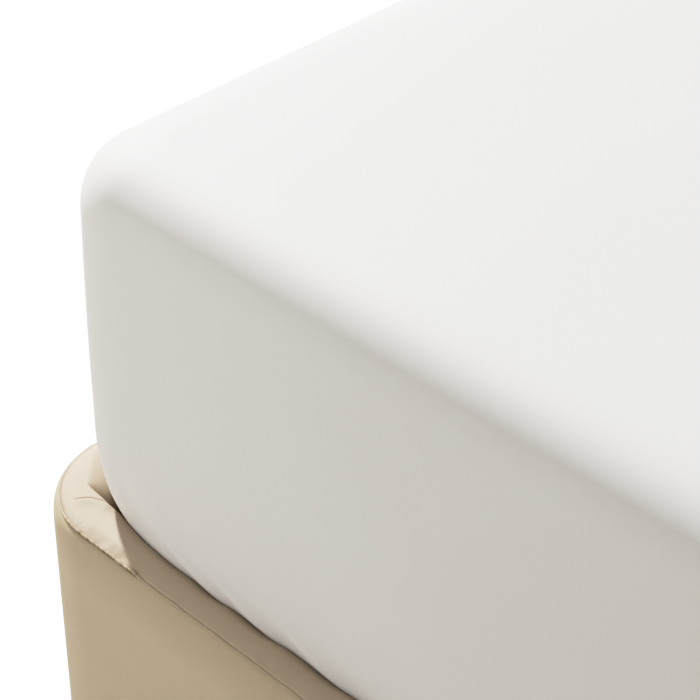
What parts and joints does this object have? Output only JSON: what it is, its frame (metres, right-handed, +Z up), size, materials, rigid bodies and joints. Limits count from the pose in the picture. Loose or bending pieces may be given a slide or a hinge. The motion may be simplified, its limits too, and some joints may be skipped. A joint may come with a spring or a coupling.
{
  "type": "fitted sheet on a mattress and upholstered bed base",
  "caption": "White fitted sheet stretched smooth over a deep mattress that stands in an upholstered bed base with a padded top band and a corded seam.",
  "frame": {"origin": "on the floor, under the middle of the bed base", "axes": "+Z up, +Y towards the head along the length, +X across the width; the foot side faces -Y"},
  "size_m": [1.5856, 2.0936, 0.6285],
  "materials": {
    "sheet_cloth": "fine smooth white cotton weave, pulled tight",
    "ticking": "plain off-white mattress cloth",
    "base_cloth": "matte fine beige upholstery cloth",
    "seam_thread": "light beige corded seam",
    "board": "plain sanded board"
  },
  "bodies": {
    "root": {"fitted_sheet": "sheet_cloth", "mattress": "ticking", "base_panel_foot": "base_cloth", "base_panel_right": "base_cloth", "base_panel_head": "base_cloth", "base_panel_left": "base_cloth", "base_band_foot": "base_cloth", "base_band_right": "base_cloth", "base_band_head": "base_cloth", "base_band_left": "base_cloth", "seam_cord": "seam_thread", "deck_board": "board", "ledger_left": "board", "ledger_right": "board", "centre_beam": "board"}
  },
  "joints": []
}
